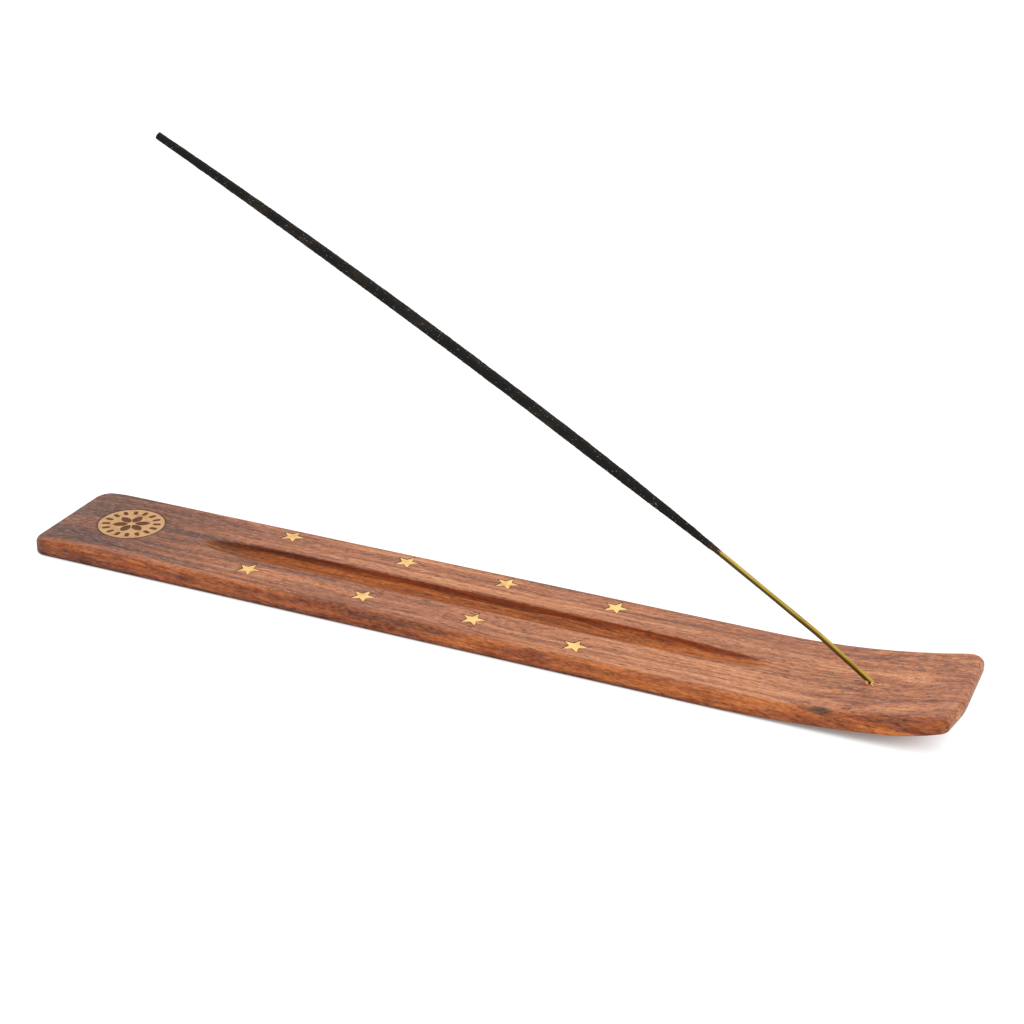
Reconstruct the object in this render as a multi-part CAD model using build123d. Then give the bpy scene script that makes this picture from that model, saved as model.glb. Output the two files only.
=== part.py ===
from build123d import *
import os
from math import asin, cos, degrees, pi, radians, sin, sqrt, tan

# Incense stick holder: a ski-shaped wooden tray with an ash groove, brass inlays bedded in dark
# filler, and an incense stick leaning out of a slanted hole. All sizes are in millimetres.
# Origin: centre of the tray on the table. +X points to the upturned end, +Y to the back, +Z up.

# Tray blank
TRAY_LENGTH = 254.0
TRAY_WIDTH = 35.8
TRAY_THICKNESS = 5.05
CORNER_RADIUS = 4.5
CLIPPED_CORNER_RUN = 2.2
CLIPPED_CORNER_SPAN = 9.5
CLIPPED_SIDE_EASE = 2.0
CLIPPED_END_EASE = 26.0
TOP_EDGE_RADIUS = 1.6
SOLE_EDGE_RADIUS = 0.5

# Low end: the top falls away in one arc
LOW_END_RUN = 11.0
LOW_END_RADIUS = 60.0

# Upturned end: one arc on top, and two arcs below that thin the tip
SKI_TOP_RUN = 52.0
SKI_TOP_RADIUS = 205.0
SKI_SOLE_RUN = 63.0
SKI_SOLE_RADIUS = 345.0
TIP_RUN = 18.0
TIP_RADIUS = 60.0

# Ash groove, cut by a round-nosed tool that ramps in and out
GROOVE_DEPTH = 2.1
GROOVE_TOOL_RADIUS = 5.8
GROOVE_LOW_INSET = 43.0
GROOVE_LOW_RAMP = 26.0
GROOVE_SKI_INSET = 45.0
GROOVE_SKI_RAMP = 46.0

# Stick hole, slanted towards the low end
HOLE_INSET = 23.8
HOLE_OFFSET = -1.15
HOLE_LEAN = 35.2
HOLE_RADIUS = 0.86
HOLE_FLOOR = 0.5

# Brass stars, bedded in pockets
STAR_TIPS = 5
STAR_TIP_RADIUS = 3.3
STAR_WAIST_RADIUS = 1.38
STAR_THICKNESS = 0.8
STAR_TURN = 9.0
STARS_IN_ROW = 4
STAR_ROW_OFFSET = 11.2
STAR_LOW_INSET = 64.2
STAR_SKI_INSET = 95.3
POCKET_MARGIN = 0.2
STAR_SHIFT_ALONG = 0.1
STAR_SHIFT_ACROSS = -0.12
FILLER_BED = 0.2
FILLER_SINK = 0.06

# Each star was laid by hand: how far it sits off its even place, along and across, and its extra turn
STAR_WANDER = {
    "front": [(-0.5, 1.6, -1.2), (2.4, 0.9, -0.2), (1.9, 1.5, 4.5), (-1.0, -0.5, 2.6)],
    "back": [(0.4, 1.9, 0.6), (4.1, 1.3, -2.0), (1.8, 1.2, 0.9), (1.1, 0.8, -1.4)],
}

# Brass roundel: a pierced disc with a petal rosette inside a ring of slots
ROUNDEL_RADIUS = 9.15
ROUNDEL_INSET = 20.6
ROUNDEL_OFFSET = 0.9
ROUNDEL_THICKNESS = 0.8
RING_SLOTS = 16
RING_SLOT_INNER = 5.9
RING_SLOT_OUTER = 8.2
RING_SLOT_WIDTH = 1.25
PETALS = 6
PETAL_INNER = 0.9
PETAL_OUTER = 5.2
PETAL_WIDTH = 2.5

# Incense stick: a bamboo core, bent a little above the hole, and a paste coat
CORE_RADIUS = 0.72
SEAT_GAP = 0.1
STRAIGHT_FOOT = 15.5
FOOT_BEND_RADIUS = 50.0
SHANK_RISE = 31.95
SHANK_LENGTH = 26.3
NECK_BEND_RADIUS = 170.0
COAT_RISE_LOW = 30.95
COAT_RISE_TIP = 26.4
COAT_LENGTH = 174.9
COAT_RADIUS = 1.47
COAT_NECK_RADIUS = 0.78
COAT_NECK_LENGTH = 46.0
COAT_TIP_RADIUS = 0.97
COAT_TIP_TAPER = 85.0
COAT_TIP_CAP = 1.2
COAT_RINGS = 24

# Places worked out from the sizes above
LOW_X = -TRAY_LENGTH / 2
SKI_X = TRAY_LENGTH / 2
SKI_TOP_START = SKI_X - SKI_TOP_RUN
SKI_SOLE_START = SKI_X - SKI_SOLE_RUN
HOLE_X = SKI_X - HOLE_INSET
ROUNDEL_X = LOW_X + ROUNDEL_INSET
POCKET_DEPTH = STAR_THICKNESS + FILLER_BED
ROUNDEL_POCKET_DEPTH = ROUNDEL_THICKNESS + FILLER_BED


def arc_rise(radius, run):
    """Height gained along a circle that starts level, over a horizontal run."""
    return radius - sqrt(radius**2 - run**2)


def top_height(x):
    """Height of the tray's top at x, past the low end's fall."""
    return TRAY_THICKNESS + arc_rise(SKI_TOP_RADIUS, max(0.0, x - SKI_TOP_START))


def sole_height(x):
    """Height of the tray's underside at x, short of the tip."""
    return arc_rise(SKI_SOLE_RADIUS, max(0.0, x - SKI_SOLE_START))


def along(point, rise, distance):
    """The point that lies a distance from a point, up a slope that leans towards the low end."""
    return (point[0] - distance * cos(radians(rise)), point[1] + distance * sin(radians(rise)))


def tray_side():
    """Side view of the tray as a face in the XZ plane."""
    low_top = (LOW_X, TRAY_THICKNESS - arc_rise(LOW_END_RADIUS, LOW_END_RUN))
    ski_top = (SKI_X, top_height(SKI_X))
    sole_arc_run = SKI_SOLE_RUN - TIP_RUN
    tip_start = (SKI_X - TIP_RUN, sole_height(SKI_X - TIP_RUN))
    tip_slope = asin(sole_arc_run / SKI_SOLE_RADIUS)
    tip_reach = tip_slope + TIP_RUN / TIP_RADIUS
    tip_end = (SKI_X, tip_start[1] + TIP_RUN * tan((tip_slope + tip_reach) / 2))
    with BuildSketch(Plane.XZ) as side:
        with BuildLine():
            Line((LOW_X, 0), (SKI_SOLE_START, 0))
            TangentArc((SKI_SOLE_START, 0), tip_start, tangent=(1, 0))
            TangentArc(tip_start, tip_end, tangent=(cos(tip_slope), sin(tip_slope)))
            Line(tip_end, ski_top)
            TangentArc((SKI_TOP_START, TRAY_THICKNESS), ski_top, tangent=(1, 0))
            Line((SKI_TOP_START, TRAY_THICKNESS), (LOW_X + LOW_END_RUN, TRAY_THICKNESS))
            TangentArc((LOW_X + LOW_END_RUN, TRAY_THICKNESS), low_top, tangent=(-1, 0))
            Line(low_top, (LOW_X, 0))
        make_face()
    return side.sketch


def tray_plan():
    """Plan view of the tray: rounded corners, and a long flat clip off one corner at the upturned end."""
    half = TRAY_WIDTH / 2
    clip_side = (SKI_X - CLIPPED_CORNER_RUN, -half)
    clip_end = (SKI_X, CLIPPED_CORNER_SPAN - half)
    corners = [(SKI_X, half), (LOW_X, half), (LOW_X, -half)]
    plan = make_face(Polyline(*corners, clip_side, clip_end, close=True))
    eases = [(corner, CORNER_RADIUS) for corner in corners]
    eases += [(clip_side, CLIPPED_SIDE_EASE), (clip_end, CLIPPED_END_EASE)]
    for corner, radius in eases:
        plan = fillet(plan.vertices().sort_by_distance((*corner, 0))[0], radius)
    return plan


def rim_edges(solid, up, level=0.7):
    """The edges round the nearly level faces on top (up = 1) or underneath (up = -1) of the blank."""
    faces = [f for f in solid.faces() if f.normal_at().Z * up > level]
    rim = []
    for face in faces:
        others = [f for f in faces if f is not face]
        for edge in face.edges():
            shared = any(edge.is_same(e) for f in others for e in f.edges())
            if not shared:
                rim.append(edge)
    return rim


def tray_blank():
    """The sanded blank, before anything is cut into it."""
    headroom = top_height(SKI_X) + TRAY_THICKNESS
    slab = extrude(tray_side(), amount=TRAY_WIDTH, both=True)
    blank = (slab & extrude(tray_plan(), amount=headroom)).solids()[0]
    blank = fillet(rim_edges(blank, 1), TOP_EDGE_RADIUS)
    return fillet(rim_edges(blank.solids()[0], -1), SOLE_EDGE_RADIUS)


def round_bar(line, radius):
    """A round bar along a line drawn in the side view."""
    centre = (Plane.XZ * line).edge()
    return sweep(Plane(centre @ 0, z_dir=centre % 0) * Circle(radius), path=centre)


def groove_cutter():
    """The space that the round-nosed tool sweeps: a level run with an arc up at each end."""
    level = TRAY_THICKNESS - GROOVE_DEPTH + GROOVE_TOOL_RADIUS
    low_end, ski_end = LOW_X + GROOVE_LOW_INSET, SKI_X - GROOVE_SKI_INSET
    run_start, run_end = low_end + GROOVE_LOW_RAMP, ski_end - GROOVE_SKI_RAMP
    ski_depth = GROOVE_DEPTH + top_height(ski_end) - TRAY_THICKNESS
    runs = [
        TangentArc((run_start, level), (low_end, level + GROOVE_DEPTH), tangent=(-1, 0)),
        Line((run_start, level), (run_end, level)),
        TangentArc((run_end, level), (ski_end, level + ski_depth), tangent=(1, 0)),
    ]
    return [round_bar(run, GROOVE_TOOL_RADIUS) for run in runs]


def hole_depth(passes=6):
    """Depth of the stick hole along its axis, leaving the floor's thickness of wood below its end."""
    lean = radians(HOLE_LEAN)
    depth = 0.0
    for _ in range(passes):
        end_x = HOLE_X + depth * cos(lean)
        drop = top_height(HOLE_X) - sole_height(end_x) - HOLE_FLOOR - HOLE_RADIUS * cos(lean)
        depth = drop / sin(lean)
    return depth


def hole_foot():
    """Where the hole's axis meets its floor, in the XZ plane."""
    return along((HOLE_X, top_height(HOLE_X)), HOLE_LEAN, -hole_depth())


def hole_cutter():
    """The drilled hole, from its floor to well clear of the tray's top."""
    foot = hole_foot()
    axis = (-cos(radians(HOLE_LEAN)), 0, sin(radians(HOLE_LEAN)))
    start = Plane((foot[0], 0, foot[1]), z_dir=axis)
    hole = extrude(start * Circle(HOLE_RADIUS), amount=hole_depth() + TRAY_THICKNESS)
    return Pos(0, HOLE_OFFSET, 0) * hole


def star_outline(margin=0.0):
    """A five-pointed star with one tip along +X, grown by a margin for its pocket."""
    points = []
    for k in range(STAR_TIPS):
        for reach, turn in ((STAR_TIP_RADIUS, k), (STAR_WAIST_RADIUS, k + 0.5)):
            angle = 2 * pi * turn / STAR_TIPS
            points.append((reach * cos(angle), reach * sin(angle)))
    outline = make_face(Polyline(*points, close=True))
    return offset(outline, margin, kind=Kind.INTERSECTION) if margin else outline


def star_places():
    """Name and place of each star, front row then back row, from the low end."""
    first, last = LOW_X + STAR_LOW_INSET, SKI_X - STAR_SKI_INSET
    pitch = (last - first) / (STARS_IN_ROW - 1)
    places = {}
    for row, side in (("front", -1), ("back", 1)):
        for k, (off_x, off_y, extra_turn) in enumerate(STAR_WANDER[row][:STARS_IN_ROW]):
            centre = Pos(first + k * pitch + off_x, side * STAR_ROW_OFFSET + off_y)
            places[f"{row}_{k + 1}"] = centre * Rot(0, 0, STAR_TURN + extra_turn)
    return places


def sunk(sketch, place, depth, sink=0.0):
    """A flat-bottomed prism in the tray's flat top: its depth, and how far its top lies below the surface."""
    return Pos(0, 0, TRAY_THICKNESS - depth) * place * extrude(sketch, amount=depth - sink)


def star_pocket(place, sink=0.0):
    """The pocket for a star, which lies nearer to one side of it."""
    pocket_place = Pos(-STAR_SHIFT_ALONG, -STAR_SHIFT_ACROSS) * place
    return sunk(star_outline(POCKET_MARGIN), pocket_place, POCKET_DEPTH, sink)


def star_inlay(place):
    return sunk(star_outline(), place, STAR_THICKNESS)


def star_filler(place):
    """Dark filler under the star and in the thin gap round it, a little below the surface."""
    return star_pocket(place, FILLER_SINK) - star_inlay(place)


def petal_outline():
    """One pointed petal along +X, between two arcs."""
    middle = (PETAL_INNER + PETAL_OUTER) / 2
    with BuildSketch() as petal:
        with BuildLine():
            for side in (1, -1):
                bulge = (middle, side * PETAL_WIDTH / 2)
                ThreePointArc((PETAL_INNER, 0), bulge, (PETAL_OUTER, 0))
        make_face()
    return petal.sketch


def roundel_piercing():
    """The rosette's petals and the ring of slots, as one sketch."""
    middle = (RING_SLOT_INNER + RING_SLOT_OUTER) / 2
    slot = Pos(middle, 0) * SlotOverall(RING_SLOT_OUTER - RING_SLOT_INNER, RING_SLOT_WIDTH)
    cuts = [Rot(0, 0, 360 * k / RING_SLOTS) * slot for k in range(RING_SLOTS)]
    cuts += [Rot(0, 0, 360 * (k + 0.5) / PETALS) * petal_outline() for k in range(PETALS)]
    return Sketch() + cuts


def roundel_place():
    return Pos(ROUNDEL_X, ROUNDEL_OFFSET)


def roundel_pocket(sink=0.0):
    return sunk(Circle(ROUNDEL_RADIUS + POCKET_MARGIN), roundel_place(), ROUNDEL_POCKET_DEPTH, sink)


def roundel_inlay():
    return sunk(Circle(ROUNDEL_RADIUS) - roundel_piercing(), roundel_place(), ROUNDEL_THICKNESS)


def roundel_filler():
    """Dark filler under the roundel, round its rim and up through its piercing."""
    return roundel_pocket(FILLER_SINK) - roundel_inlay()


def wooden_tray():
    tray = tray_blank()
    for cutter in groove_cutter():
        tray -= cutter
    for place in star_places().values():
        tray -= star_pocket(place)
    return tray - roundel_pocket() - hole_cutter()


def bend(start, rise_from, rise_to, radius):
    """An arc in the side view that eases the stick's slope from one rise to another."""
    tangent = (-cos(radians(rise_from)), sin(radians(rise_from)))
    return JernArc(start, tangent, radius, rise_from - rise_to)


def shank_lines():
    """The stick's centre line below the coat, in the side view."""
    foot = along(hole_foot(), HOLE_LEAN, SEAT_GAP)
    knee = along(foot, HOLE_LEAN, hole_depth() + STRAIGHT_FOOT)
    foot_bend = bend(knee, HOLE_LEAN, SHANK_RISE, FOOT_BEND_RADIUS)
    bend_end = tuple(foot_bend @ 1)[:2]
    neck = along(bend_end, SHANK_RISE, SHANK_LENGTH)
    neck_bend = bend(neck, SHANK_RISE, COAT_RISE_LOW, NECK_BEND_RADIUS)
    return [Line(foot, knee), foot_bend, Line(bend_end, neck), neck_bend]


def coat_line(length):
    """The stick's centre line inside the coat, as one long sagging arc of a given length."""
    start = tuple(shank_lines()[-1] @ 1)[:2]
    sag_radius = COAT_LENGTH / radians(COAT_RISE_LOW - COAT_RISE_TIP)
    rise_end = COAT_RISE_LOW - degrees(length / sag_radius)
    return bend(start, COAT_RISE_LOW, rise_end, sag_radius)


def bamboo_core():
    """The bare bamboo and the part of it that runs up inside the coat."""
    lines = shank_lines() + [coat_line(COAT_LENGTH - COAT_TIP_CAP)]
    bars = [round_bar(line, CORE_RADIUS) for line in lines]
    return Pos(0, HOLE_OFFSET, 0) * (bars[0] + bars[1:])


def coat_radius(distance):
    """Radius of the coat at a distance from its neck: thin there, then full, then slimmer."""
    neck = min(1.0, distance / COAT_NECK_LENGTH)
    tip = min(1.0, (COAT_LENGTH - distance) / COAT_TIP_TAPER)
    past_neck = COAT_NECK_RADIUS + (COAT_RADIUS - COAT_NECK_RADIUS) * sin(pi / 2 * neck)
    before_tip = COAT_TIP_RADIUS + (COAT_RADIUS - COAT_TIP_RADIUS) * sin(pi / 2 * tip)
    return min(past_neck, before_tip)


def incense_coat():
    """The paste round the core, as a run of short tapers through rings along its centre line."""
    centre = (Plane.XZ * coat_line(COAT_LENGTH)).edge()
    rings = []
    for k in range(COAT_RINGS):
        share = k / (COAT_RINGS - 1)
        ring = Circle(coat_radius(share * COAT_LENGTH))
        rings.append(Plane(centre @ share, z_dir=centre % share) * ring)
    return Pos(0, HOLE_OFFSET, 0) * loft(rings, ruled=True) - bamboo_core()


def main():
    os.makedirs("parts", exist_ok=True)
    nodes = {"wooden_tray": wooden_tray()}
    for name, place in star_places().items():
        nodes[f"brass_star_{name}"] = star_inlay(place)
        nodes[f"star_filler_{name}"] = star_filler(place)
    nodes["brass_roundel"] = roundel_inlay()
    nodes["roundel_filler"] = roundel_filler()
    nodes["bamboo_core"] = bamboo_core()
    nodes["incense_coat"] = incense_coat()
    for name, shape in nodes.items():
        export_step(shape, f"parts/{name}.step")


if __name__ == "__main__":
    main()
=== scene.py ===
"""Looks of an incense stick holder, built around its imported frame.

The tray, its brass inlays and their filler are the frame's own solids with procedural finishes. The paste
coat and the bamboo core are modelled again in the same place, with the roughness that the real ones have.
"""
import math
import random

import bpy
from bpy.props import FloatProperty, FloatVectorProperty, PointerProperty
from mathutils import Matrix, Vector, noise


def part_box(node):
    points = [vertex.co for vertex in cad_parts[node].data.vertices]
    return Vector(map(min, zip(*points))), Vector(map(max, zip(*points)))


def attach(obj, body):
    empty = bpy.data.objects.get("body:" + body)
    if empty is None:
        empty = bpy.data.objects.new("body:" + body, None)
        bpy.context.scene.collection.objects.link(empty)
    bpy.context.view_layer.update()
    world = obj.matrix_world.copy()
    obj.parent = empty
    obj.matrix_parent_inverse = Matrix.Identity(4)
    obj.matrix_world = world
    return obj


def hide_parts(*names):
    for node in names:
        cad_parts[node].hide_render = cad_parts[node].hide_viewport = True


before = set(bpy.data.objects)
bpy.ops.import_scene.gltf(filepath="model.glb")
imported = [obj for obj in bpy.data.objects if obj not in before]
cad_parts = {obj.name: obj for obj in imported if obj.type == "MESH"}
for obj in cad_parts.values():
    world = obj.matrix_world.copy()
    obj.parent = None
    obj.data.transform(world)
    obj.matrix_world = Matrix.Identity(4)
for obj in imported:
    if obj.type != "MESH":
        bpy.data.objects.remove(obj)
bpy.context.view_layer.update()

bl_info = {
    "name": "Incense stick holder",
    "version": (1, 0, 0),
    "blender": (4, 5, 0),
    "location": "View3D > Sidebar > Incense",
    "description": "Finishes and small pieces of an incense stick holder",
    "category": "Object",
}

MM = 0.001

# The camera: a square frame, seen from above the front of the upturned end
CAMERA_PLACE = (0.185526, -0.427596, 0.246937)
CAMERA_YAW = 0.393295
CAMERA_PITCH = 0.434122
CAMERA_ROLL = 0.0253077
CAMERA_LENS = 71.277
SENSOR_WIDTH = 36.0
CLIP_START = 0.01

# The stick's centre line: pairs of a length in millimetres and the rise in degrees at its end
FOOT_RISE = 35.2
STICK_RUNS = [
    (20.78, 35.2),
    (2.84, 31.95),
    (26.3, 31.95),
    (2.97, 30.95),
]
COAT_RUN = (174.9, 26.4)
CORE_HIDDEN_CAP = 1.2

# Shape of the paste coat, in millimetres
COAT_RADIUS = 1.47
COAT_NECK_RADIUS = 0.78
COAT_NECK_LENGTH = 46.0
COAT_TIP_RADIUS = 0.97
COAT_TIP_TAPER = 85.0

# Places on the tray, in millimetres
FLAT_TOP = 5.05
SKI_START = 75.0
SKI_RADIUS = 205.0
KNOT_PLACE = (95.0, -17.0, 5.8)
KNOT_SIZE = (4.4, 1.6, 2.3)
HOLE_MOUTH = (103.2, -1.15)
GROOVE_HALF_WIDTH = 4.6
GROOVE_LOWEST = 1.5
GROOVE_START = -100.0
GROOVE_END = 82.0

# Spans over which the wood's looks change, in millimetres along, across or up the tray
SIDE_SPAN = (15.8, 17.85)
LOW_END_SPAN = (-125.0, -35.0)
LOW_EDGE_SPAN = (-118.0, -126.0)
BRIGHT_END_SPAN = (30.0, 112.0)
FOOT_DARK_SPAN = (1.3, 0.1)
CUT_SPAN = (0.08, 0.5)
WALL_TOP_SPAN = (0.02, 0.45)
WALL_FOOT_SPAN = (1.8, 0.7)
WALL_ACROSS_SPAN = (0.8, 2.4)
WALL_RAGGED = 2.2
LAC_REACH = 0.9

# Layers of noise: feature sizes along three axes in millimetres, then octaves and roughness
LAYERS = {
    "grain sway": ((75, 24, 24), 2.0, 0.55),
    "wood bands": ((130, 4.2, 4.4), 4.0, 0.6),
    "wood streaks": ((85, 1.5, 1.2), 4.0, 0.66),
    "wood fibres": ((26, 0.85, 0.5), 3.0, 0.68),
    "wood fuzz": ((1.9, 0.62, 0.42), 4.0, 0.74),
    "pale fibres": ((1.8, 0.55, 0.42), 2.0, 0.6),
    "wood veins": ((120, 5.5, 5.5), 3.0, 0.55),
    "wood warmth": ((52, 8, 8), 2.0, 0.55),
    "wood pores": ((2.2, 0.5, 0.32), 2.0, 0.5),
    "side stains": ((13, 3.0, 1.6), 3.0, 0.6),
    "brass scratches": ((2.6, 0.07, 0.3), 3.0, 0.6),
    "brass clouds": ((3.2, 2.6, 2.6), 3.0, 0.6),
    "lac pits": ((0.35, 0.35, 0.35), 3.0, 0.6),
    "bamboo fibres": ((14.0, 0.2, 0.2), 4.0, 0.6),
    "bamboo blotches": ((8.0, 0.8, 0.8), 3.0, 0.6),
    "paste grains": ((0.3, 0.3, 0.3), 3.0, 0.65),
    "paste dust": ((0.46, 0.42, 0.42), 1.0, 0.4),
    "paste wear": ((11.0, 3.0, 6.0), 3.0, 0.6),
    "torn wood": ((0.7, 0.5, 0.5), 2.0, 0.6),
}
MIDDLE_NOISE = 0.5

# The wood: how its layers are weighed, and the spans of noise over which each one shows
TONE_WEIGHTS = (0.38, 0.34, 0.28)
TONE_STOPS = (0.36, 0.44, 0.5, 0.59)
LOW_END_LOSS = 0.115
BRIGHT_END_GAIN = 0.02
BRIGHT_SIDES = 0.2
SWAY = 10.0
SWAY_UPWARD = 0.4
GRAIN_UPWARD = 0.8
SWELL = 2.2
SWELL_SPAN = (0.2, 2.4)
FUZZ_LEAST = 0.42
FUZZ_GAIN = 1.16
SHEEN_SPAN = (0.32, 0.68)
GLINT_SPAN = (0.5, 0.76)
GLINT_SHARE = 0.42
VEIN_SPAN = (0.0, 0.02)
VEIN_SHARE = 0.5
WARM_SPAN = (0.44, 0.62)
ASHEN = (232, 226, 232)
PORE_SPAN = (0.57, 0.7)
PORE_SHARE = 0.62
STAIN_SPAN = (0.44, 0.66)
HEART_SPAN = (0.2, 0.95)
HEART_SHARE = 0.85
WALL_MOST = 1.25
WALL_STREAKS = 0.6
LAC_STRENGTH = 0.9
FIBRE_RELIEF = 0.5
WOOD_ROUGHNESS = (0.36, 0.24)
WOOD_SPECULAR = 0.16

# The brass and the lac that beds it
TARNISH = (232, 220, 204)
TARNISH_SPAN = (0.4, 0.7)
BRASS_ROUGHNESS = (0.36, 0.2)
BRASS_METALLIC = 0.85
SCRATCH_DEPTH = 0.012 * MM
LAC_ASH = (176, 160, 148)
LAC_ASH_SPAN = (0.4, 0.65)
LAC_ROUGHNESS = (0.5, 0.25)
LAC_SPECULAR = 0.2
PIT_DEPTH = 0.04 * MM

# The bamboo
SHADE_ATTRIBUTE = "painted_shade"
BAMBOO_GRAIN_RISE = 33.0
BAMBOO_STOPS = (0.3, 0.47, 0.62)
BAMBOO_WEIGHTS = (0.6, 0.4)
BAMBOO_ROUGHNESS = 0.42
BAMBOO_SPECULAR = 0.24
BAMBOO_DEPTH = 0.06 * MM

# The paste, with its reach at the neck in millimetres
WORN_PASTE = (62, 50, 40)
WORN_SHARE = 0.7
WORN_SPAN = (0.45, 0.75)
THIN_REACH = (0.5, 5.5)
THIN_SPAN = (0.3, 0.6)
FLECK_SPAN = (0.68, 0.74)
FLECK_SHARE = 0.8
PASTE_ROUGHNESS = 0.82
PASTE_SPECULAR = 0.16
PASTE_DEPTH = 0.1 * MM

# The torn wood of the crumbs
TORN_STOPS = (0.38, 0.52, 0.7)
TORN_MIDDLE = (226, 176, 118)
TORN_PALE = (240, 204, 150)
TORN_ROUGHNESS = 0.7
TORN_DEPTH = 0.05 * MM


def srgb(red, green, blue):
    """A linear colour from the 0 to 255 values of an sRGB one."""
    channels = []
    for value in (red, green, blue):
        share = value / 255
        channels.append(share / 12.92 if share <= 0.04045 else ((share + 0.055) / 1.055) ** 2.4)
    return (*channels, 1.0)


def top_height(x):
    """Height of the tray's top in millimetres, past its low end."""
    run = max(0.0, x - SKI_START)
    return FLAT_TOP + SKI_RADIUS - math.sqrt(SKI_RADIUS**2 - run**2)


def colour_setting(label, red, green, blue):
    """A colour that a user can change."""
    return FloatVectorProperty(
        name=label, description=f"Colour of the {label.lower()}", subtype="COLOR", size=4, min=0.0, max=1.0,
        default=srgb(red, green, blue),
    )


def length_setting(label, description, default, least=0.0):
    """A length that a user can change."""
    return FloatProperty(
        name=label, description=description, default=default, min=least, subtype="DISTANCE", unit="LENGTH",
    )


def power_setting(label, description, default):
    """A lamp's power that a user can change."""
    return FloatProperty(name=label, description=description, default=default, min=0.0, unit="POWER")


class WoodSettings(bpy.types.PropertyGroup):
    """Colours and relief of the tray's wood."""

    pale: colour_setting("Pale wood", 212, 142, 94)
    middle: colour_setting("Middle wood", 182, 108, 64)
    umber: colour_setting("Umber wood", 146, 86, 54)
    dark: colour_setting("Dark streaks", 92, 54, 38)
    pore: colour_setting("Wood pores", 64, 35, 23)
    glint: colour_setting("Pale fibres", 226, 180, 152)
    sheen: colour_setting("Sheen of the fibres", 72, 70, 68)
    side_shade: colour_setting("Painted shade on the sides", 246, 206, 116)
    stain: colour_setting("Side stains", 198, 172, 156)
    foot_darkening: colour_setting("Darker foot of the sides", 150, 128, 112)
    groove_floor: colour_setting("Groove floor tint", 246, 208, 134)
    groove_wall_shade: colour_setting("Painted shade on the groove wall", 176, 132, 100)
    relief: length_setting("Grain relief", "Depth of the open grain", 0.06 * MM)


class InlaySettings(bpy.types.PropertyGroup):
    """Colours of the brass inlays and the filler that beds them."""

    brass: colour_setting("Star brass", 236, 198, 128)
    roundel: colour_setting("Roundel brass", 204, 161, 114)
    star_filler: colour_setting("Star filler", 74, 44, 27)
    roundel_filler: colour_setting("Roundel filler", 114, 66, 34)


class StickSettings(bpy.types.PropertyGroup):
    """Shape and colours of the incense stick."""

    core_radius: length_setting("Core radius", "Radius of the bamboo core", 0.72 * MM, 0.2 * MM)
    coat_grain: length_setting("Paste grain", "Height of the grains on the paste coat", 0.06 * MM)
    bamboo_pale: colour_setting("Pale bamboo", 236, 206, 92)
    bamboo: colour_setting("Dyed bamboo", 204, 166, 36)
    bamboo_dark: colour_setting("Dark bamboo and painted shade", 50, 33, 2)
    paste: colour_setting("Incense paste", 24, 22, 20)
    thin_paste: colour_setting("Thin paste at the neck", 66, 48, 24)
    fleck: colour_setting("Pale flecks", 138, 128, 114)


class StageSettings(bpy.types.PropertyGroup):
    """Light and floor."""

    key_power: power_setting("Key light", "Power of the overhead softbox", 5.2)
    side_power: power_setting("Side light", "Power of the softbox beside the upturned end", 2.2)
    front_power: power_setting("Front light", "Power of the softbox in front", 3.0)
    sky: FloatProperty(name="Sky", description="Strength of the even surround", default=0.5, min=0.0)
    floor_glow: FloatProperty(
        name="Floor glow", description="How much of the open floor's white is its own",
        default=0.84, min=0.0, max=1.0,
    )
    contact_glow: FloatProperty(
        name="Contact glow", description="How much of the floor's white is its own where the tray is close",
        default=0.1, min=0.0, max=1.0,
    )
    contact_reach: length_setting(
        "Contact reach", "How far the tray takes away the floor's own white", 8.5 * MM,
    )
    floor_white: FloatProperty(
        name="Floor white", description="Strength of the floor's own white", default=1.22, min=0.0,
    )


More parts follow.
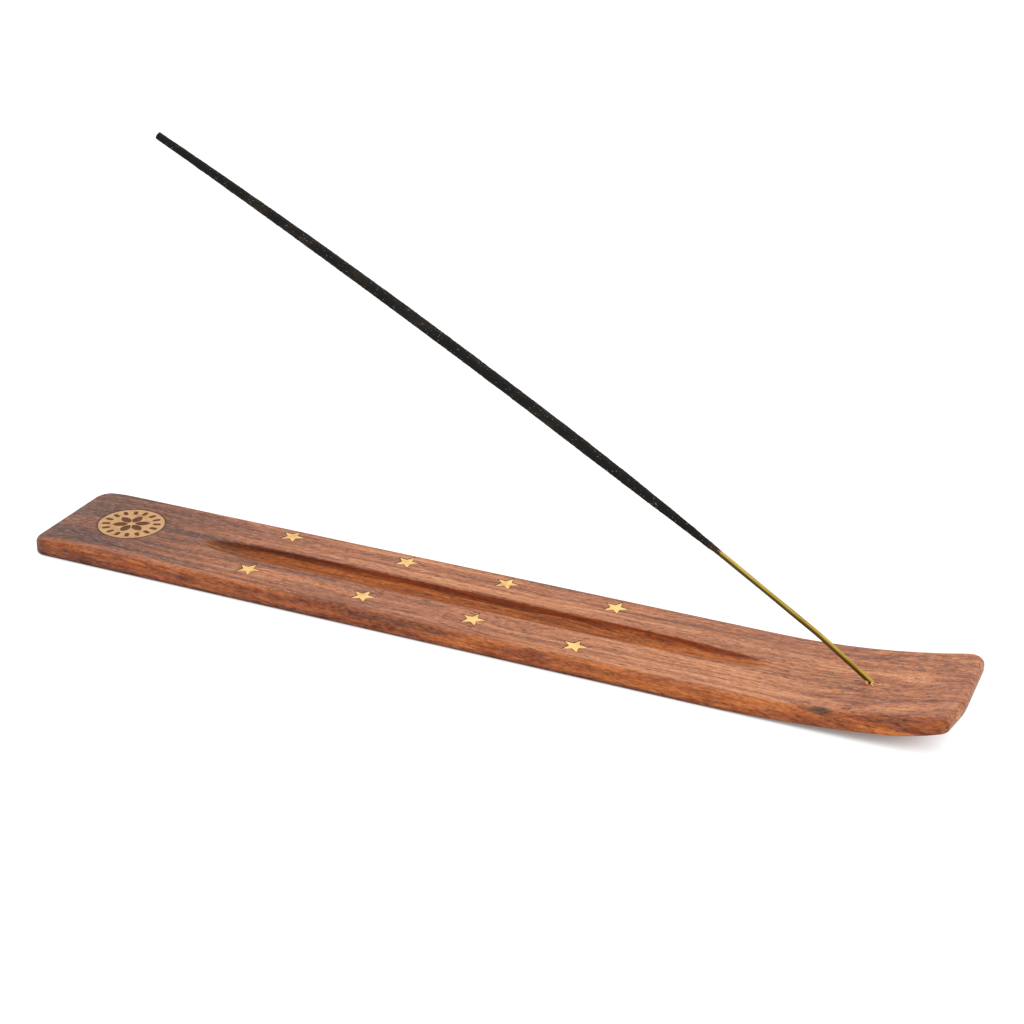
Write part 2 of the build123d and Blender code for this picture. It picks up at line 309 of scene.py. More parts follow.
class Finish:
    """A material whose Principled shader is fed by a few shared kinds of node."""

    def __init__(self, name):
        self.material = bpy.data.materials.new(name)
        self.material.use_nodes = True
        self.tree = self.material.node_tree
        self.shader = self.tree.nodes["Principled BSDF"]

    def put(self, socket, value):
        """Sets a socket to a value, or links another socket to it."""
        if isinstance(value, bpy.types.NodeSocket):
            self.tree.links.new(value, socket)
        else:
            socket.default_value = value

    def surface(self, **inputs):
        """Feeds the Principled shader's inputs, named with underscores for spaces."""
        for name, value in inputs.items():
            self.put(self.shader.inputs[name.replace("_", " ")], value)

    def place(self):
        """The point in the frame, in millimetres."""
        point = self.tree.nodes.new("ShaderNodeTexCoord").outputs["Object"]
        return self.vector("MULTIPLY", point, (1 / MM, 1 / MM, 1 / MM))

    def vector(self, operation, first, second):
        node = self.tree.nodes.new("ShaderNodeVectorMath")
        node.operation = operation
        self.put(node.inputs[0], first)
        self.put(node.inputs[1], second)
        return node.outputs["Value"] if operation in ("LENGTH", "DISTANCE") else node.outputs["Vector"]

    def split(self, point):
        """The point's x, y and z."""
        node = self.tree.nodes.new("ShaderNodeSeparateXYZ")
        self.put(node.inputs[0], point)
        return tuple(node.outputs)

    def join(self, x, y, z):
        node = self.tree.nodes.new("ShaderNodeCombineXYZ")
        for socket, value in zip(node.inputs, (x, y, z)):
            self.put(socket, value)
        return node.outputs[0]

    def math(self, operation, first, second=0.0):
        node = self.tree.nodes.new("ShaderNodeMath")
        node.operation = operation
        self.put(node.inputs[0], first)
        self.put(node.inputs[1], second)
        return node.outputs[0]

    def times(self, first, *others):
        for other in others:
            first = self.math("MULTIPLY", first, other)
        return first

    def plus(self, first, *others):
        for other in others:
            first = self.math("ADD", first, other)
        return first

    def minus(self, first, second):
        return self.math("SUBTRACT", first, second)

    def ease(self, value, low, high):
        """Runs smoothly from 0 at low to 1 at high."""
        node = self.tree.nodes.new("ShaderNodeMapRange")
        node.interpolation_type = "SMOOTHSTEP"
        self.put(node.inputs["Value"], value)
        self.put(node.inputs["From Min"], low)
        self.put(node.inputs["From Max"], high)
        return node.outputs[0]

    def fade(self, value, low, high):
        """Runs smoothly from 1 at low to 0 at high."""
        return self.minus(1.0, self.ease(value, low, high))

    def noise(self, point, layer):
        """One of the layers of noise, at a point in millimetres."""
        pitch, detail, rough = LAYERS[layer]
        node = self.tree.nodes.new("ShaderNodeTexNoise")
        self.put(node.inputs["Vector"], self.vector("DIVIDE", point, pitch))
        self.put(node.inputs["Scale"], 1.0)
        self.put(node.inputs["Detail"], detail)
        self.put(node.inputs["Roughness"], rough)
        return node.outputs["Fac"]

    def roughness(self, layer, least, gain):
        """A roughness that grows with a layer."""
        return self.plus(least, self.times(layer, gain))

    def ramp(self, value, places, colours):
        """Colours by a value, one at each place."""
        node = self.tree.nodes.new("ShaderNodeValToRGB")
        elements = node.color_ramp.elements
        while len(elements) < len(places):
            elements.new(0.5)
        for element, place, colour in zip(elements, places, colours):
            element.position = place
            element.color = colour
        self.put(node.inputs[0], value)
        return node.outputs["Color"]

    def mix(self, share, first, second, blend="MIX"):
        node = self.tree.nodes.new("ShaderNodeMix")
        node.data_type = "RGBA"
        node.blend_type = blend
        colours = [socket for socket in node.inputs if socket.type == "RGBA"]
        self.put(node.inputs[0], share)
        self.put(colours[0], first)
        self.put(colours[1], second)
        return next(socket for socket in node.outputs if socket.type == "RGBA")

    def tint(self, colour, by):
        """A colour multiplied by another."""
        return self.mix(1.0, colour, by, "MULTIPLY")

    def bump(self, height, depth):
        node = self.tree.nodes.new("ShaderNodeBump")
        self.put(node.inputs["Height"], height)
        self.put(node.inputs["Distance"], depth)
        return node.outputs[0]


def wood_finish(settings):
    """Oiled rosewood: streaks along the tray, short open pores, a knot, painted glints and sheen, and
    painted shade on the sides and in the groove.
    """
    finish = Finish("oiled_rosewood")
    point = finish.place()
    x, y, z = finish.split(point)
    knot = finish.vector("DIVIDE", finish.vector("SUBTRACT", point, KNOT_PLACE), KNOT_SIZE)
    from_knot = finish.vector("LENGTH", knot, (0, 0, 0))
    grain = wood_grain(finish, point, from_knot)
    sides = finish.ease(finish.math("ABSOLUTE", y), *SIDE_SPAN)

    bands = finish.noise(grain, "wood bands")
    streaks = finish.noise(grain, "wood streaks")
    fibres = finish.noise(grain, "wood fibres")
    tone = wood_tone(finish, x, sides, (bands, streaks, fibres))
    shades = (settings.dark, settings.umber, settings.middle, settings.pale)
    colour = finish.ramp(tone, TONE_STOPS, shades)

    fuzz = finish.noise(grain, "wood fuzz")
    colour = finish.tint(colour, finish.plus(FUZZ_LEAST, finish.times(fuzz, FUZZ_GAIN)))
    # Painted glints: paler dashes along the fibres stand in for light glancing off them, and are partly the
    # fibres' own paler colour.
    glints = finish.ease(finish.noise(grain, "pale fibres"), *GLINT_SPAN)
    colour = finish.mix(finish.times(glints, GLINT_SHARE), colour, settings.glint)
    ridge = finish.math("ABSOLUTE", finish.minus(finish.noise(grain, "wood veins"), MIDDLE_NOISE))
    colour = finish.mix(finish.times(finish.fade(ridge, *VEIN_SPAN), VEIN_SHARE), colour, settings.dark)
    warmth = finish.ease(finish.noise(point, "wood warmth"), *WARM_SPAN)
    colour = finish.mix(warmth, finish.tint(colour, srgb(*ASHEN)), colour)
    pores = finish.times(finish.ease(finish.noise(grain, "wood pores"), *PORE_SPAN), PORE_SHARE)
    colour = finish.mix(pores, colour, settings.pore)

    # Painted shade: the sides take a deeper, darker orange than the top, where less light and sheen fall;
    # their stains are the wood's own.
    shaded_sides = finish.tint(colour, settings.side_shade)
    stains = finish.ease(finish.noise(grain, "side stains"), *STAIN_SPAN)
    shaded_sides = finish.mix(stains, shaded_sides, finish.tint(shaded_sides, settings.stain))
    colour = finish.mix(sides, colour, shaded_sides)
    # The sides darken towards the sole.
    foot = finish.times(finish.ease(z, *FOOT_DARK_SPAN), sides)
    colour = finish.mix(foot, colour, finish.tint(colour, settings.foot_darkening))

    heart = finish.times(finish.fade(from_knot, *HEART_SPAN), HEART_SHARE)
    colour = finish.mix(heart, colour, settings.pore)
    colour = finish.mix(finish.ease(fuzz, *SHEEN_SPAN), colour, settings.sheen, "ADD")
    colour = shaded_groove(finish, colour, settings, streaks, point)
    colour = lac_rim(finish, colour, settings, point)

    rough = finish.roughness(fibres, *WOOD_ROUGHNESS)
    relief = finish.minus(finish.times(fibres, FIBRE_RELIEF), pores)
    finish.surface(Base_Color=colour, Roughness=rough, Normal=finish.bump(relief, settings.relief))
    finish.surface(Specular_IOR_Level=WOOD_SPECULAR)
    return finish.material


def wood_grain(finish, point, from_knot):
    """The point bent so that the grain sways along the tray and swells round the knot."""
    x, y, z = finish.split(point)
    sway = finish.times(finish.minus(finish.noise(point, "grain sway"), MIDDLE_NOISE), SWAY)
    swell = finish.times(finish.fade(from_knot, *SWELL_SPAN), SWELL)
    grain_z = finish.plus(finish.times(z, GRAIN_UPWARD), finish.times(sway, SWAY_UPWARD))
    return finish.join(x, finish.plus(y, sway, swell), grain_z)


def wood_tone(finish, x, sides, layers):
    """How pale the wood is: its layers weighed, then darker at the low end and paler at the other."""
    tone = finish.plus(*[finish.times(layer, weight) for layer, weight in zip(layers, TONE_WEIGHTS)])
    low_end = finish.minus(finish.fade(x, *LOW_END_SPAN), sides)
    low_end = finish.math("MAXIMUM", low_end, finish.ease(x, *LOW_EDGE_SPAN))
    bright_end = finish.ease(x, *BRIGHT_END_SPAN)
    bright_end = finish.math("MAXIMUM", bright_end, finish.times(sides, BRIGHT_SIDES))
    tone = finish.minus(tone, finish.times(low_end, LOW_END_LOSS))
    return finish.plus(tone, finish.times(bright_end, BRIGHT_END_GAIN))


def shaded_groove(finish, colour, settings, streaks, point):
    """Paints shade on the groove's upper back wall, which faces away from the light, and warms its floor
    with a tint that is partly finish pooled in the cut and partly painted bounce light.
    """
    x, y, z = finish.split(point)
    depth = finish.minus(FLAT_TOP, z)
    inside = finish.times(
        finish.math("LESS_THAN", finish.math("ABSOLUTE", y), GROOVE_HALF_WIDTH),
        finish.math("GREATER_THAN", z, GROOVE_LOWEST),
        finish.math("GREATER_THAN", x, GROOVE_START),
        finish.math("LESS_THAN", x, GROOVE_END),
    )
    # A warm tint on the groove's floor, partly finish pooled in the cut and partly painted bounce light.
    cut = finish.times(finish.ease(depth, *CUT_SPAN), inside)
    colour = finish.mix(cut, colour, finish.tint(colour, settings.groove_floor))
    # Painted shade on the upper back wall of the groove, which faces away from the light.
    ragged = finish.plus(depth, finish.times(finish.minus(streaks, MIDDLE_NOISE), WALL_RAGGED))
    wall = finish.times(
        finish.ease(depth, *WALL_TOP_SPAN),
        inside,
        finish.ease(ragged, *WALL_FOOT_SPAN),
        finish.ease(y, *WALL_ACROSS_SPAN),
        finish.minus(WALL_MOST, finish.times(streaks, WALL_STREAKS)),
    )
    return finish.mix(wall, colour, finish.tint(colour, settings.groove_wall_shade))


def lac_rim(finish, colour, settings, point):
    """Darkens the wood's edge round the roundel, where lac has soaked in."""
    low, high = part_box("brass_roundel")
    radius = (high[0] - low[0]) / 2 / MM
    centre = ((low[0] + high[0]) / 2 / MM, (low[1] + high[1]) / 2 / MM, 0.0)
    x, y, z = finish.split(point)
    away = finish.vector("DISTANCE", finish.join(x, y, 0.0), centre)
    soaked = finish.times(finish.ease(away, radius + LAC_REACH, radius), LAC_STRENGTH)
    on_top = finish.math("GREATER_THAN", z, FLAT_TOP / 2)
    return finish.mix(finish.times(soaked, on_top), colour, settings.pore)


def brass_finish(name, colour):
    """Sanded brass: fine scratches one way and a few tarnished clouds."""
    finish = Finish(name)
    point = finish.place()
    scratches = finish.noise(point, "brass scratches")
    clouds = finish.ease(finish.noise(point, "brass clouds"), *TARNISH_SPAN)
    tinted = finish.mix(clouds, colour, finish.tint(colour, srgb(*TARNISH)))
    rough = finish.roughness(scratches, *BRASS_ROUGHNESS)
    finish.surface(Base_Color=tinted, Roughness=rough, Normal=finish.bump(scratches, SCRATCH_DEPTH))
    finish.surface(Metallic=BRASS_METALLIC)
    return finish.material


def filler_finish(name, lac):
    """Lac, dull and a little pitted."""
    finish = Finish(name)
    pits = finish.noise(finish.place(), "lac pits")
    colour = finish.mix(finish.ease(pits, *LAC_ASH_SPAN), lac, finish.tint(lac, srgb(*LAC_ASH)))
    rough = finish.roughness(pits, *LAC_ROUGHNESS)
    finish.surface(Base_Color=colour, Roughness=rough, Normal=finish.bump(pits, PIT_DEPTH))
    finish.surface(Specular_IOR_Level=LAC_SPECULAR)
    return finish.material


def bamboo_finish(settings):
    """Yellow-dyed split bamboo: fibres along it, painted shade on its lower side and a thin dark line along
    its top.
    """
    finish = Finish("dyed_bamboo")
    x, y, z = finish.split(finish.place())
    lean = math.radians(BAMBOO_GRAIN_RISE)
    run = finish.minus(finish.times(x, math.cos(lean)), finish.times(z, math.sin(lean)))
    across = finish.plus(finish.times(x, math.sin(lean)), finish.times(z, math.cos(lean)))
    grain = finish.join(run, y, across)
    fibres = finish.noise(grain, "bamboo fibres")
    blotches = finish.noise(grain, "bamboo blotches")
    fibre_weight, blotch_weight = BAMBOO_WEIGHTS
    tone = finish.plus(finish.times(fibres, fibre_weight), finish.times(blotches, blotch_weight))
    shades = (settings.bamboo_dark, settings.bamboo, settings.bamboo_pale)
    colour = finish.ramp(tone, BAMBOO_STOPS, shades)
    # Painted shade on the core's lower side and a thin dark line along its top, as a share stored on each
    # vertex.
    side = finish.tree.nodes.new("ShaderNodeAttribute")
    side.attribute_name = SHADE_ATTRIBUTE
    colour = finish.mix(side.outputs["Fac"], colour, settings.bamboo_dark)
    relief = finish.bump(fibres, BAMBOO_DEPTH)
    finish.surface(Base_Color=colour, Roughness=BAMBOO_ROUGHNESS, Normal=relief)
    finish.surface(Specular_IOR_Level=BAMBOO_SPECULAR)
    return finish.material


def paste_finish(settings, neck):
    """Black incense paste with fine grains and a few pale flecks of wood dust, thin at its neck."""
    finish = Finish("incense_paste")
    point = finish.place()
    grains = finish.noise(point, "paste grains")
    worn = finish.ease(finish.noise(point, "paste wear"), *WORN_SPAN)
    brown = finish.mix(WORN_SHARE, settings.paste, srgb(*WORN_PASTE))
    colour = finish.mix(worn, settings.paste, brown)
    thin = finish.fade(finish.vector("DISTANCE", point, neck), *THIN_REACH)
    thin = finish.times(thin, finish.ease(grains, *THIN_SPAN))
    colour = finish.mix(thin, colour, settings.thin_paste)
    flecks = finish.ease(finish.noise(point, "paste dust"), *FLECK_SPAN)
    colour = finish.mix(finish.times(flecks, FLECK_SHARE), colour, settings.fleck)
    relief = finish.bump(grains, PASTE_DEPTH)
    finish.surface(Base_Color=colour, Roughness=PASTE_ROUGHNESS, Normal=relief)
    finish.surface(Specular_IOR_Level=PASTE_SPECULAR)
    return finish.material


def crumb_finish(settings):
    """Fresh wood torn out by the drill."""
    finish = Finish("torn_wood")
    tone = finish.noise(finish.place(), "torn wood")
    shades = (settings.middle, srgb(*TORN_MIDDLE), srgb(*TORN_PALE))
    colour = finish.ramp(tone, TORN_STOPS, shades)
    finish.surface(Base_Color=colour, Roughness=TORN_ROUGHNESS, Normal=finish.bump(tone, TORN_DEPTH))
    return finish.material


def dress(node, material):
    """Gives one of the frame's own solids a finish."""
    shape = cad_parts[node]
    shape.data.materials.clear()
    shape.data.materials.append(material)


def keep_piece(name, vertices, faces, material, body, slot, *replaced):
    """Makes a mesh piece, smooth-shaded, that moves with a body."""
    mesh = bpy.data.meshes.new(name)
    mesh.from_pydata(vertices, [], faces)
    mesh.update()
    mesh.shade_smooth()
    mesh.materials.append(material)
    piece = bpy.data.objects.new(name, mesh)
    bpy.context.scene.collection.objects.link(piece)
    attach(piece, body)
    if replaced:
        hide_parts(*replaced)
    return piece


def stick_foot(core_radius):
    """Where the core's centre line starts, from the frame's own core."""
    low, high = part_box("bamboo_core")
    lean = math.radians(FOOT_RISE)
    middle = (low[1] + high[1]) / 2
    return Vector((high[0] - core_radius * math.sin(lean), middle, low[2] + core_radius * math.cos(lean)))


def centre_line(core_radius, step):
    """Points along the stick, each with its distance in millimetres and its direction."""
    runs = STICK_RUNS + [COAT_RUN]
    point = stick_foot(core_radius)
    distance = 0.0
    rise = FOOT_RISE
    stations = []
    for length, rise_end in runs:
        steps = max(2, round(length / step))
        for k in range(steps):
            slope = math.radians(rise + (rise_end - rise) * (k + 0.5) / steps)
            direction = Vector((-math.cos(slope), 0.0, math.sin(slope)))
            stations.append((distance, point.copy(), direction))
            point += direction * (length / steps * MM)
            distance += length / steps
        rise = rise_end
    stations.append((distance, point.copy(), direction))
    return stations


def bare_length():
    """Length of the stick below its coat."""
    return sum(length for length, _ in STICK_RUNS)


def lofted(stations, sides, reach):
    """Vertices and faces of a closed tube whose radius in metres is reach(distance, angle, point)."""
    vertices = []
    across = Vector((0.0, 1.0, 0.0))
    for distance, point, direction in stations:
        up = direction.cross(across).normalized()
        for k in range(sides):
            angle = 2 * math.pi * k / sides
            spoke = across * math.cos(angle) + up * math.sin(angle)
            vertices.append(point + spoke * reach(distance, angle, point + spoke * MM))
    faces = []
    for ring in range(len(stations) - 1):
        start = ring * sides
        for k in range(sides):
            after = (k + 1) % sides
            faces.append((start + k, start + after, start + sides + after, start + sides + k))
    foot, head = len(vertices), len(vertices) + 1
    vertices += [stations[0][1], stations[-1][1]]
    last = (len(stations) - 1) * sides
    for k in range(sides):
        after = (k + 1) % sides
        faces.append((foot, after, k))
        faces.append((head, last + k, last + after))
    return vertices, faces


class INCENSE_OT_tray(bpy.types.Operator):
    """Finish the wooden tray"""

    bl_idname = "incense.tray"
    bl_label = "Finish the tray"

    def execute(self, context):
        dress("wooden_tray", wood_finish(context.scene.incense_wood))
        return {"FINISHED"}


class INCENSE_OT_inlays(bpy.types.Operator):
    """Finish the brass inlays and the filler round them"""

    bl_idname = "incense.inlays"
    bl_label = "Finish the inlays"

    def execute(self, context):
        settings = context.scene.incense_inlays
        star = brass_finish("sanded_star_brass", settings.brass)
        roundel = brass_finish("sanded_roundel_brass", settings.roundel)
        dark_lac = filler_finish("dark_lac", settings.star_filler)
        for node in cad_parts:
            if node.startswith("brass_star"):
                dress(node, star)
            elif node.startswith("star_filler"):
                dress(node, dark_lac)
        dress("brass_roundel", roundel)
        dress("roundel_filler", filler_finish("brown_lac", settings.roundel_filler))
        return {"FINISHED"}


class INCENSE_OT_core(bpy.types.Operator):
    """Model the split bamboo core"""

    bl_idname = "incense.core"
    bl_label = "Model the bamboo core"

    STEP = 0.7
    SIDES = 28
    FACETS = 3
    FACET_TURN = 0.6
    FLATTENING = 0.05
    FIBRE_DEPTH = 0.035
    FIBRE_LENGTH = 22
    FIBRE_FINENESS = 3.4
    WANDER = 0.04
    WANDER_LENGTH = 9
    WANDER_PLACE = (7.3, 1.1)
    SHADE_BELOW = 0.9
    RIM_FROM = 0.9
    SHADE_EDGE = 1.5
    RIM_EDGE = 6.0
    SHADE_MOST = 0.92

    def share(self, distance, angle):
        """The core's radius as a share of the full one."""
        facets = math.cos(self.FACETS * angle + self.FACET_TURN) * self.FLATTENING
        fine = self.FIBRE_FINENESS
        fibre = noise.noise((distance / self.FIBRE_LENGTH, fine * math.cos(angle), fine * math.sin(angle)))
        wander = noise.noise((distance / self.WANDER_LENGTH, *self.WANDER_PLACE)) * self.WANDER
        return 1 - self.FLATTENING + facets + wander + fibre * self.FIBRE_DEPTH

    def execute(self, context):
        settings = context.scene.incense_stick
        radius = settings.core_radius
        stations = centre_line(radius, self.STEP)
        end = stations[-1][0] - CORE_HIDDEN_CAP
        stations = [station for station in stations if station[0] < end]

        def reach(distance, angle, _):
            return radius * self.share(distance, angle)

        vertices, faces = lofted(stations, self.SIDES, reach)
        material = bamboo_finish(settings)
        piece = keep_piece("split_bamboo", vertices, faces, material, "stick", "bamboo", "bamboo_core")
        # Each vertex's share of painted shade: most on the lower side, with a thin dark line along the top.
        side = piece.data.attributes.new(SHADE_ATTRIBUTE, "FLOAT", "POINT")
        for index in range(len(stations) * self.SIDES):
            height = -math.sin(2 * math.pi * (index % self.SIDES) / self.SIDES)
            below = max(0.0, self.SHADE_BELOW - height) * self.SHADE_EDGE
            above = max(0.0, height - self.RIM_FROM) * self.RIM_EDGE
            side.data[index].value = min(self.SHADE_MOST, below + above)
        return {"FINISHED"}


class INCENSE_OT_coat(bpy.types.Operator):
    """Model the grainy paste coat"""

    bl_idname = "incense.coat"
    bl_label = "Model the paste coat"

    STEP = 0.22
    SIDES = 44
    JOIN_SLACK = 0.001
    LUMP = 0.05
    LUMP_SIZE = 2.6
    SMALL_LUMP_SHARE = 0.7
    SMALL_LUMP_SIZE = 0.9
    NECK_LUMP = 0.16
    NECK_LUMP_SIZE = 1.7
    NECK_LUMP_REACH = 14.0
    GRAIN_SIZE = 0.34
    RAGGED_NECK = 3.6
    RAGGED_LEVEL = 0.6
    RAGGED_SWING = 0.5
    RAGGED_FINENESS = 2
    RAGGED_PLACE = 4.0
    SHORTEST_NECK = 0.2
    BURIED_SHARE = 0.96
    TIP_ROUND = 0.3
    TIP_SHARE = 0.25

    def smooth_radius(self, distance):
        """The coat's radius in millimetres, before its lumps."""
        length = COAT_RUN[0]
        neck = min(1.0, distance / COAT_NECK_LENGTH)
        tip = min(1.0, (length - distance) / COAT_TIP_TAPER)
        past_neck = COAT_NECK_RADIUS + (COAT_RADIUS - COAT_NECK_RADIUS) * math.sin(math.pi / 2 * neck)
        before_tip = COAT_TIP_RADIUS + (COAT_RADIUS - COAT_TIP_RADIUS) * math.sin(math.pi / 2 * tip)
        return min(past_neck, before_tip)

    def lumps(self, along, spot):
        """How far the lumps stand out in millimetres, more so near the neck."""
        small = noise.noise(spot / self.SMALL_LUMP_SIZE) * self.LUMP * self.SMALL_LUMP_SHARE
        near_neck = max(0.0, 1 - along / self.NECK_LUMP_REACH)
        at_neck = noise.noise(spot / self.NECK_LUMP_SIZE) * self.NECK_LUMP * near_neck
        return noise.noise(spot / self.LUMP_SIZE) * self.LUMP + small + at_neck

    def neck_share(self, along, angle):
        """Runs from 0 to 1 over the ragged start of the coat."""
        fine = self.RAGGED_FINENESS
        swing = noise.noise((fine * math.cos(angle), fine * math.sin(angle), self.RAGGED_PLACE))
        ragged = self.RAGGED_NECK * (self.RAGGED_LEVEL + self.RAGGED_SWING * swing)
        return min(1.0, along / max(self.SHORTEST_NECK, ragged))

    def execute(self, context):
        settings = context.scene.incense_stick
        grain = settings.coat_grain / MM
        core = settings.core_radius / MM * self.BURIED_SHARE
        start = bare_length()
        end = start + COAT_RUN[0]
        stations = centre_line(settings.core_radius, self.STEP)
        stations = [station for station in stations if station[0] >= start - self.JOIN_SLACK]

        def reach(distance, angle, point):
            along = distance - start
            spot = point / MM
            full = self.smooth_radius(along) + self.lumps(along, spot)
            full += noise.noise(spot / self.GRAIN_SIZE) * grain
            radius = core + (full - core) * self.neck_share(along, angle)
            past_round = max(0.0, 1 - (end - distance) / self.TIP_ROUND)
            round_off = math.sqrt(max(0.0, 1 - past_round**2))
            return radius * MM * (self.TIP_SHARE + (1 - self.TIP_SHARE) * round_off)

        vertices, faces = lofted(stations, self.SIDES, reach)
        material = paste_finish(settings, stations[0][1] / MM)
        keep_piece("incense_paste_coat", vertices, faces, material, "stick", "incense", "incense_coat")
        return {"FINISHED"}


class INCENSE_OT_crumbs(bpy.types.Operator):
    """Scatter torn crumbs round the stick's hole"""

    bl_idname = "incense.crumbs"
    bl_label = "Scatter the crumbs"

    SEED = 7
    SIDES = 7
    RINGS = 5
    SUNK_SHARE = 0.22
    TILT = (-0.2, 0.5)
    STRETCH = (1.1, 2.2)
    RAGGED = (0.6, 1.15)
    GIRTH_SHARE = 0.5
    BLUNT_END = 0.12
    # Places from the hole's mouth along and across the tray, and sizes, in millimetres
    CRUMBS = [
        (-1.05, -0.8, 1.1),
        (0.45, -1.2, 0.85),
        (1.35, -0.75, 0.42),
        (2.3, -0.95, 0.5),
        (-2.5, -0.7, 0.3),
        (1.2, 0.5, 0.36),
    ]

    def crumb(self, rng, centre, size):
        """One torn, pointed crumb as rings round its own axis."""
        heading = rng.uniform(0, 2 * math.pi)
        axis = Vector((math.cos(heading), math.sin(heading), rng.uniform(*self.TILT))).normalized()
        side = axis.orthogonal().normalized()
        other = axis.cross(side)
        length = size * rng.uniform(*self.STRETCH)
        vertices = []
        for ring in range(self.RINGS):
            share = ring / (self.RINGS - 1)
            swell = math.sin(math.pi * (self.BLUNT_END + (1 - 2 * self.BLUNT_END) * share))
            girth = size * self.GIRTH_SHARE * swell
            middle = centre + axis * (share - 0.5) * length
            for k in range(self.SIDES):
                angle = 2 * math.pi * k / self.SIDES
                spoke = side * math.cos(angle) + other * math.sin(angle)
                vertices.append(middle + spoke * girth * rng.uniform(*self.RAGGED))
        faces = []
        for ring in range(self.RINGS - 1):
            for k in range(self.SIDES):
                first = ring * self.SIDES + k
                second = ring * self.SIDES + (k + 1) % self.SIDES
                faces.append((first, second, second + self.SIDES, first + self.SIDES))
        faces.append(tuple(reversed(range(self.SIDES))))
        top = (self.RINGS - 1) * self.SIDES
        faces.append(tuple(range(top, top + self.SIDES)))
        return vertices, faces

    def execute(self, context):
        rng = random.Random(self.SEED)
        vertices = []
        faces = []
        for off_x, off_y, size in self.CRUMBS:
            x = HOLE_MOUTH[0] + off_x
            y = HOLE_MOUTH[1] + off_y
            centre = Vector((x, y, top_height(x) + size * self.SUNK_SHARE)) * MM
            more_vertices, more_faces = self.crumb(rng, centre, size * MM)
            base = len(vertices)
            vertices += more_vertices
            faces += [tuple(base + index for index in face) for face in more_faces]
        material = crumb_finish(context.scene.incense_wood)
        keep_piece("hole_crumbs", vertices, faces, material, "holder", "wood")
        return {"FINISHED"}


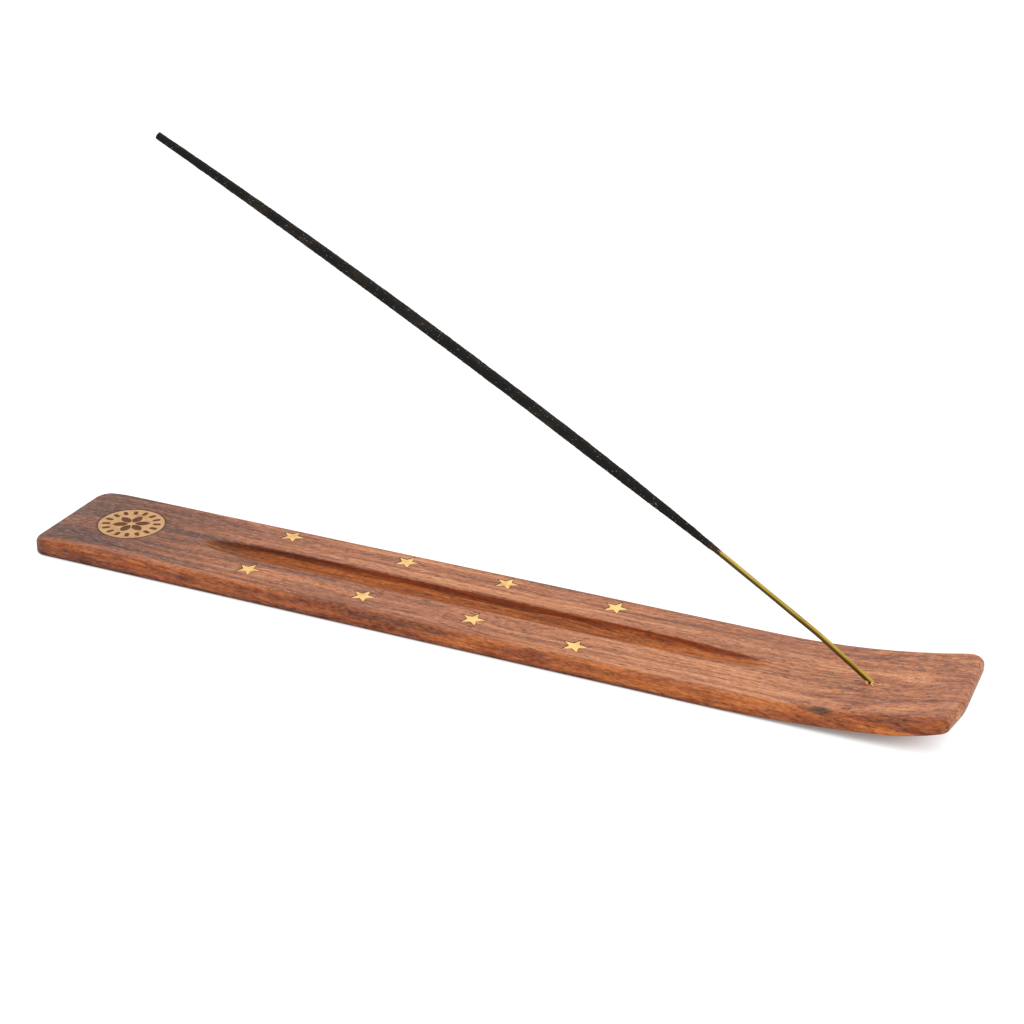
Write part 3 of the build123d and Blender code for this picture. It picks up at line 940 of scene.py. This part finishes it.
class INCENSE_OT_stage(bpy.types.Operator):
    """Lay the floor and set the lights and the camera"""

    bl_idname = "incense.stage"
    bl_label = "Set the stage"

    FLOOR_HALF = 6.0
    FLOOR_DROP = 0.05 * MM
    FLOOR_PAINT = (0.86, 0.86, 0.86, 1.0)
    SKY_COLOUR = (1.0, 1.0, 1.0, 1.0)
    SEEN_SKY = 1.0
    CONTACT_FROM = 0.22
    CONTACT_TO = 0.66
    KEY_PLACE = Vector((0.12, 0.42, 0.95))
    KEY_SIZE = 0.9
    SIDE_PLACE = Vector((0.95, -0.1, 0.5))
    SIDE_SIZE = 0.6
    FRONT_PLACE = Vector((-0.2, -0.95, 0.4))
    FRONT_SIZE = 0.7

    def seen_rays(self, tree):
        """1 for rays from the camera, off metal or through glass, and 0 for the rest."""
        rays = tree.nodes.new("ShaderNodeLightPath").outputs
        total = rays["Is Camera Ray"]
        for kind in ("Is Glossy Ray", "Is Transmission Ray"):
            node = tree.nodes.new("ShaderNodeMath")
            node.operation = "MAXIMUM"
            tree.links.new(total, node.inputs[0])
            tree.links.new(rays[kind], node.inputs[1])
            total = node.outputs[0]
        return total

    def floor_material(self, settings):
        """White paint that glows where it is open, and less where the tray is close."""
        material = bpy.data.materials.new("white_floor")
        material.use_nodes = True
        tree = material.node_tree
        tree.nodes.clear()
        paint = tree.nodes.new("ShaderNodeBsdfDiffuse")
        paint.inputs["Color"].default_value = self.FLOOR_PAINT
        glow = tree.nodes.new("ShaderNodeEmission")
        glow.inputs["Strength"].default_value = settings.floor_white
        openness = tree.nodes.new("ShaderNodeAmbientOcclusion")
        openness.inputs["Distance"].default_value = settings.contact_reach
        level = tree.nodes.new("ShaderNodeMapRange")
        level.inputs["From Min"].default_value = self.CONTACT_FROM
        level.inputs["From Max"].default_value = self.CONTACT_TO
        level.inputs["To Min"].default_value = settings.contact_glow
        level.inputs["To Max"].default_value = settings.floor_glow
        share = tree.nodes.new("ShaderNodeMath")
        share.operation = "MULTIPLY"
        blend = tree.nodes.new("ShaderNodeMixShader")
        out = tree.nodes.new("ShaderNodeOutputMaterial")
        tree.links.new(openness.outputs["AO"], level.inputs["Value"])
        tree.links.new(self.seen_rays(tree), share.inputs[0])
        tree.links.new(level.outputs[0], share.inputs[1])
        tree.links.new(share.outputs[0], blend.inputs[0])
        tree.links.new(paint.outputs[0], blend.inputs[1])
        tree.links.new(glow.outputs[0], blend.inputs[2])
        tree.links.new(blend.outputs[0], out.inputs["Surface"])
        return material

    def floor(self, settings):
        half = self.FLOOR_HALF
        corners = [(-half, -half, 0), (half, -half, 0), (half, half, 0), (-half, half, 0)]
        mesh = bpy.data.meshes.new("floor")
        mesh.from_pydata(corners, [], [(0, 1, 2, 3)])
        mesh.materials.append(self.floor_material(settings))
        floor = bpy.data.objects.new("floor", mesh)
        floor.location.z = -self.FLOOR_DROP
        bpy.context.scene.collection.objects.link(floor)

    def sky(self, scene, settings):
        world = bpy.data.worlds.new("studio")
        scene.world = world
        world.use_nodes = True
        tree = world.node_tree
        background = tree.nodes["Background"]
        background.inputs["Color"].default_value = self.SKY_COLOUR
        strength = tree.nodes.new("ShaderNodeMapRange")
        strength.inputs["To Min"].default_value = settings.sky
        strength.inputs["To Max"].default_value = self.SEEN_SKY
        tree.links.new(self.seen_rays(tree), strength.inputs["Value"])
        tree.links.new(strength.outputs[0], background.inputs["Strength"])

    def lamp(self, name, place, size, power):
        light = bpy.data.lights.new(name, "AREA")
        light.size = size
        light.energy = power
        lamp = bpy.data.objects.new(name, light)
        lamp.location = place
        lamp.rotation_euler = (-place).to_track_quat("-Z", "Y").to_euler()
        bpy.context.scene.collection.objects.link(lamp)

    def camera(self, scene):
        yaw, pitch, roll = CAMERA_YAW, CAMERA_PITCH, CAMERA_ROLL
        flat = math.cos(pitch)
        look = Vector((-math.sin(yaw) * flat, math.cos(yaw) * flat, -math.sin(pitch)))
        level = Vector((math.cos(yaw), math.sin(yaw), 0.0))
        upright = level.cross(look)
        right = level * math.cos(roll) + upright * math.sin(roll)
        up = upright * math.cos(roll) - level * math.sin(roll)
        lens = bpy.data.cameras.new("camera")
        lens.lens = CAMERA_LENS
        lens.sensor_width = SENSOR_WIDTH
        lens.sensor_fit = "HORIZONTAL"
        lens.clip_start = CLIP_START
        camera = bpy.data.objects.new("camera", lens)
        turn = Matrix((right, up, -look)).transposed()
        camera.matrix_world = Matrix.Translation(CAMERA_PLACE) @ turn.to_4x4()
        scene.collection.objects.link(camera)
        scene.camera = camera

    def execute(self, context):
        scene = context.scene
        settings = scene.incense_stage
        scene.view_settings.view_transform = "Standard"
        self.floor(settings)
        self.sky(scene, settings)
        self.lamp("key_softbox", self.KEY_PLACE, self.KEY_SIZE, settings.key_power)
        self.lamp("side_softbox", self.SIDE_PLACE, self.SIDE_SIZE, settings.side_power)
        self.lamp("front_softbox", self.FRONT_PLACE, self.FRONT_SIZE, settings.front_power)
        self.camera(scene)
        return {"FINISHED"}


class INCENSE_PT_panel(bpy.types.Panel):
    """Lists the steps that dress the holder"""

    bl_idname = "INCENSE_PT_panel"
    bl_label = "Incense stick holder"
    bl_space_type = "VIEW_3D"
    bl_region_type = "UI"
    bl_category = "Incense"

    def draw(self, context):
        for operator in OPERATORS:
            self.layout.operator(operator.bl_idname)
        for group, settings in SETTINGS:
            for name in settings.__annotations__:
                self.layout.prop(getattr(context.scene, group), name)


OPERATORS = [
    INCENSE_OT_tray,
    INCENSE_OT_inlays,
    INCENSE_OT_core,
    INCENSE_OT_coat,
    INCENSE_OT_crumbs,
    INCENSE_OT_stage,
]
SETTINGS = [
    ("incense_wood", WoodSettings),
    ("incense_inlays", InlaySettings),
    ("incense_stick", StickSettings),
    ("incense_stage", StageSettings),
]


def register():
    for name, settings in SETTINGS:
        bpy.utils.register_class(settings)
        setattr(bpy.types.Scene, name, PointerProperty(type=settings))
    for operator in OPERATORS:
        bpy.utils.register_class(operator)
    bpy.utils.register_class(INCENSE_PT_panel)


def unregister():
    bpy.utils.unregister_class(INCENSE_PT_panel)
    for operator in reversed(OPERATORS):
        bpy.utils.unregister_class(operator)
    for name, settings in reversed(SETTINGS):
        delattr(bpy.types.Scene, name)
        bpy.utils.unregister_class(settings)


def main():
    register()
    bpy.ops.incense.tray()
    bpy.ops.incense.inlays()
    bpy.ops.incense.core()
    bpy.ops.incense.coat()
    bpy.ops.incense.crumbs()
    bpy.ops.incense.stage()


if __name__ == "__main__":
    main()
